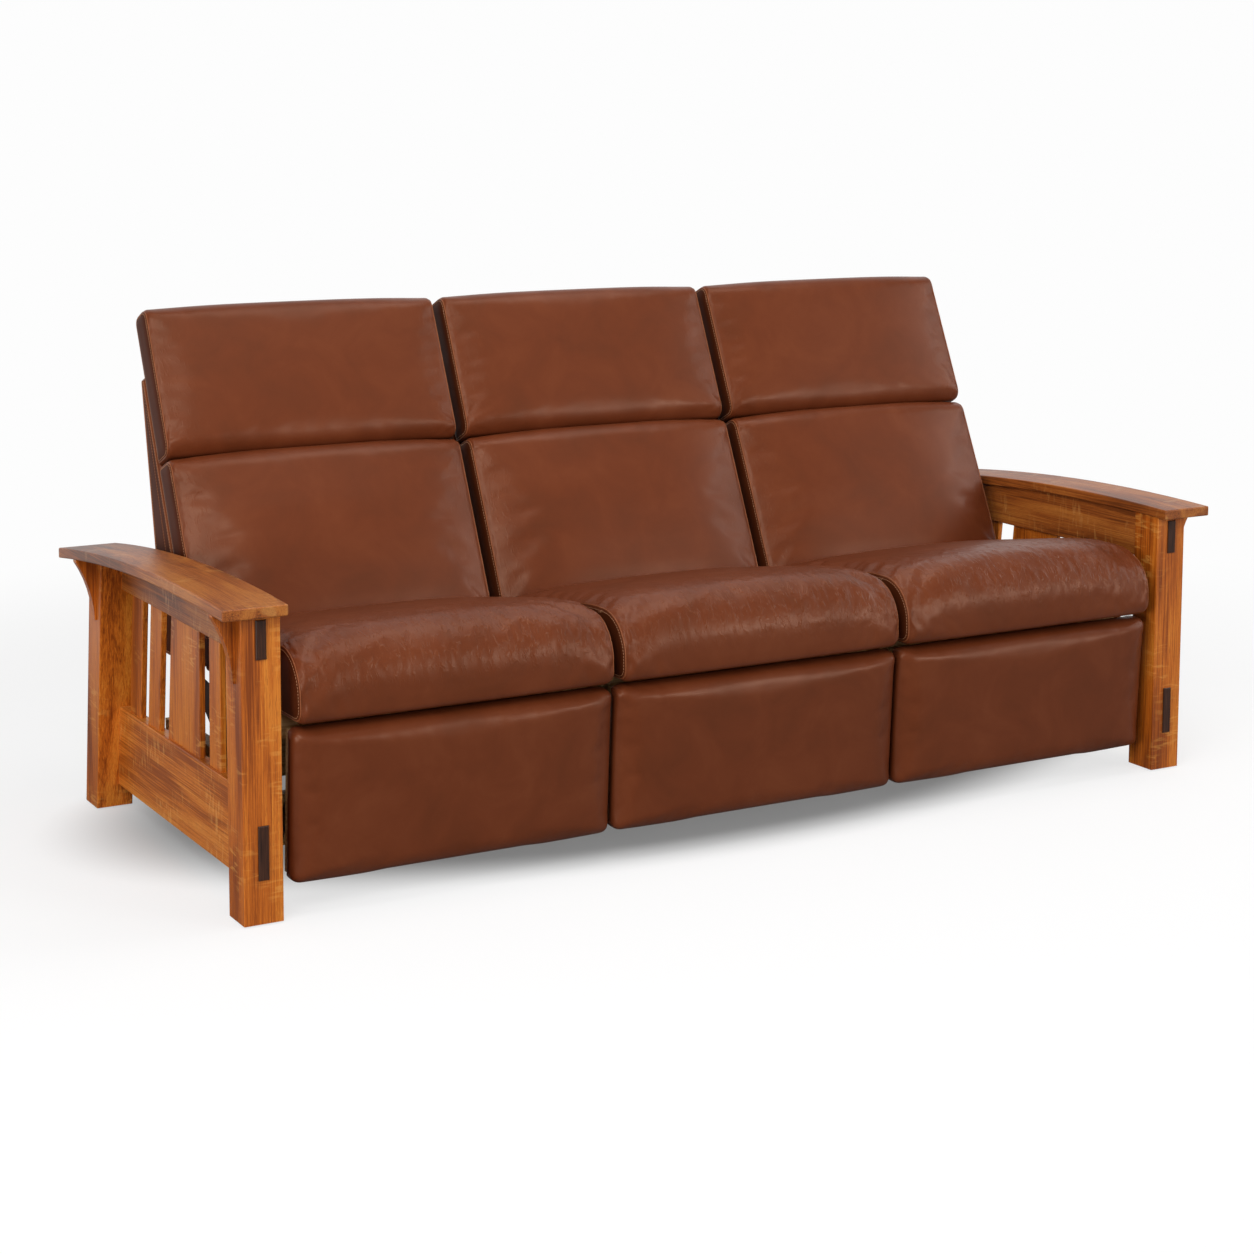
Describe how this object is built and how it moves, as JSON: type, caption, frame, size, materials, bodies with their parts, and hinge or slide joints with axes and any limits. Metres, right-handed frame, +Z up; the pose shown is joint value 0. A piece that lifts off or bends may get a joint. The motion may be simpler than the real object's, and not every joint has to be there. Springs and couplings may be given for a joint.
{
  "type": "reclining sofa",
  "caption": "Long open-ended oak reclining sofa with arched arm boards, leather seats, pillow backs that recline and footrests that fold out on steel links.",
  "frame": {"origin": "on the floor, under the middle of the sofa's bounding box", "axes": "+X to the right as seen from the front, along the sofa's length; the front faces -Y; +Z up"},
  "size_m": [2.287, 0.963, 1.0451],
  "materials": {
    "oak": "quartersawn oak, amber brown stain, satin lacquer",
    "walnut": "dark walnut, satin lacquer",
    "hardwood": "plain sawn hardwood, unfinished",
    "leather": "glossy chestnut brown top grain leather over foam",
    "black_steel": "semi-gloss black powder coat",
    "spring_steel": "oiled drawn spring wire",
    "zinc_steel": "bright zinc plate",
    "glide_plastic": "dark brown moulded nylon"
  },
  "bodies": {
    "root": {"front_post_left": "oak", "front_post_right": "oak", "rear_post_left": "oak", "rear_post_right": "oak", "lower_side_rail_left": "oak", "lower_side_rail_right": "oak", "upper_side_rail_left": "oak", "upper_side_rail_right": "oak", "arm_board_left": "oak", "arm_board_right": "oak", "side_slats_left": "oak", "side_slats_right": "oak", "corbels": "oak", "tenon_ends": "walnut", "front_cross_rail": "hardwood", "rear_cross_rail": "hardwood", "base_runners": "hardwood", "centre_legs": "hardwood", "floor_glides": "glide_plastic", "corner_angles": "zinc_steel", "corner_screws": "zinc_steel"},
    "carriage_left": {"seat_cushion_left": "leather", "seat_frame_left": "hardwood", "seat_springs_left": "spring_steel", "side_plates_left": "black_steel"},
    "back_left": {"back_shell_left": "leather", "back_brackets_left": "black_steel", "lumbar_pillow_left": "leather", "headrest_pillow_left": "leather"},
    "drive_arms_left": {"drive_links_left": "black_steel"},
    "extension_arms_left": {"extension_links_left": "black_steel"},
    "footrest_left": {"footrest_brackets_left": "black_steel", "footrest_board_left": "hardwood", "footrest_pad_left": "leather"},
    "carriage_middle": {"seat_cushion_middle": "leather", "seat_frame_middle": "hardwood", "seat_springs_middle": "spring_steel", "side_plates_middle": "black_steel"},
    "back_middle": {"back_shell_middle": "leather", "back_brackets_middle": "black_steel", "lumbar_pillow_middle": "leather", "headrest_pillow_middle": "leather"},
    "drive_arms_middle": {"drive_links_middle": "black_steel"},
    "extension_arms_middle": {"extension_links_middle": "black_steel"},
    "footrest_middle": {"footrest_brackets_middle": "black_steel", "footrest_board_middle": "hardwood", "footrest_pad_middle": "leather"},
    "carriage_right": {"seat_cushion_right": "leather", "seat_frame_right": "hardwood", "seat_springs_right": "spring_steel", "side_plates_right": "black_steel"},
    "back_right": {"back_shell_right": "leather", "back_brackets_right": "black_steel", "lumbar_pillow_right": "leather", "headrest_pillow_right": "leather"},
    "drive_arms_right": {"drive_links_right": "black_steel"},
    "extension_arms_right": {"extension_links_right": "black_steel"},
    "footrest_right": {"footrest_brackets_right": "black_steel", "footrest_board_right": "hardwood", "footrest_pad_right": "leather"}
  },
  "joints": [
    {"name": "seat_slide_left", "type": "slide", "parent": "root", "child": "carriage_left", "axis": [0, -1, 0], "range_m": [0, 0.075]},
    {"name": "recline_left", "type": "hinge", "parent": "carriage_left", "child": "back_left", "pos_m": [-0.67, 0.145, 0.318], "axis": [-1, 0, 0], "range_deg": [0, 28]},
    {"name": "footrest_left", "type": "hinge", "parent": "carriage_left", "child": "drive_arms_left", "pos_m": [-0.67, -0.235, 0.295], "axis": [-1, 0, 0], "range_deg": [0, 78.06]},
    {"name": "extension_left", "type": "hinge", "parent": "drive_arms_left", "child": "extension_arms_left", "pos_m": [-0.67, -0.25851, 0.08129], "axis": [-1, 0, 0], "range_deg": [-120, 0]},
    {"name": "footrest_panel_left", "type": "hinge", "parent": "extension_arms_left", "child": "footrest_left", "pos_m": [-0.67, -0.375, 0.262], "axis": [-1, 0, 0], "range_deg": [0, 132]},
    {"name": "seat_slide_middle", "type": "slide", "parent": "root", "child": "carriage_middle", "axis": [0, -1, 0], "range_m": [0, 0.075]},
    {"name": "recline_middle", "type": "hinge", "parent": "carriage_middle", "child": "back_middle", "pos_m": [0, 0.145, 0.318], "axis": [-1, 0, 0], "range_deg": [0, 28]},
    {"name": "footrest_middle", "type": "hinge", "parent": "carriage_middle", "child": "drive_arms_middle", "pos_m": [0, -0.235, 0.295], "axis": [-1, 0, 0], "range_deg": [0, 78.06]},
    {"name": "extension_middle", "type": "hinge", "parent": "drive_arms_middle", "child": "extension_arms_middle", "pos_m": [0, -0.25851, 0.08129], "axis": [-1, 0, 0], "range_deg": [-120, 0]},
    {"name": "footrest_panel_middle", "type": "hinge", "parent": "extension_arms_middle", "child": "footrest_middle", "pos_m": [0, -0.375, 0.262], "axis": [-1, 0, 0], "range_deg": [0, 132]},
    {"name": "seat_slide_right", "type": "slide", "parent": "root", "child": "carriage_right", "axis": [0, -1, 0], "range_m": [0, 0.075]},
    {"name": "recline_right", "type": "hinge", "parent": "carriage_right", "child": "back_right", "pos_m": [0.67, 0.145, 0.318], "axis": [-1, 0, 0], "range_deg": [0, 28]},
    {"name": "footrest_right", "type": "hinge", "parent": "carriage_right", "child": "drive_arms_right", "pos_m": [0.67, -0.235, 0.295], "axis": [-1, 0, 0], "range_deg": [0, 78.06]},
    {"name": "extension_right", "type": "hinge", "parent": "drive_arms_right", "child": "extension_arms_right", "pos_m": [0.67, -0.25851, 0.08129], "axis": [-1, 0, 0], "range_deg": [-120, 0]},
    {"name": "footrest_panel_right", "type": "hinge", "parent": "extension_arms_right", "child": "footrest_right", "pos_m": [0.67, -0.375, 0.262], "axis": [-1, 0, 0], "range_deg": [0, 132]}
  ],
  "couplings": [
    {"joint": "seat_slide_left", "follows": "recline_left", "m_per_rad": 0.15347},
    {"joint": "extension_left", "follows": "footrest_left", "ratio": -1.4668},
    {"joint": "footrest_panel_left", "follows": "footrest_left", "ratio": 1.6594},
    {"joint": "seat_slide_middle", "follows": "recline_middle", "m_per_rad": 0.15347},
    {"joint": "extension_middle", "follows": "footrest_middle", "ratio": -1.4668},
    {"joint": "footrest_panel_middle", "follows": "footrest_middle", "ratio": 1.6594},
    {"joint": "seat_slide_right", "follows": "recline_right", "m_per_rad": 0.15347},
    {"joint": "extension_right", "follows": "footrest_right", "ratio": -1.4668},
    {"joint": "footrest_panel_right", "follows": "footrest_right", "ratio": 1.6594}
  ]
}
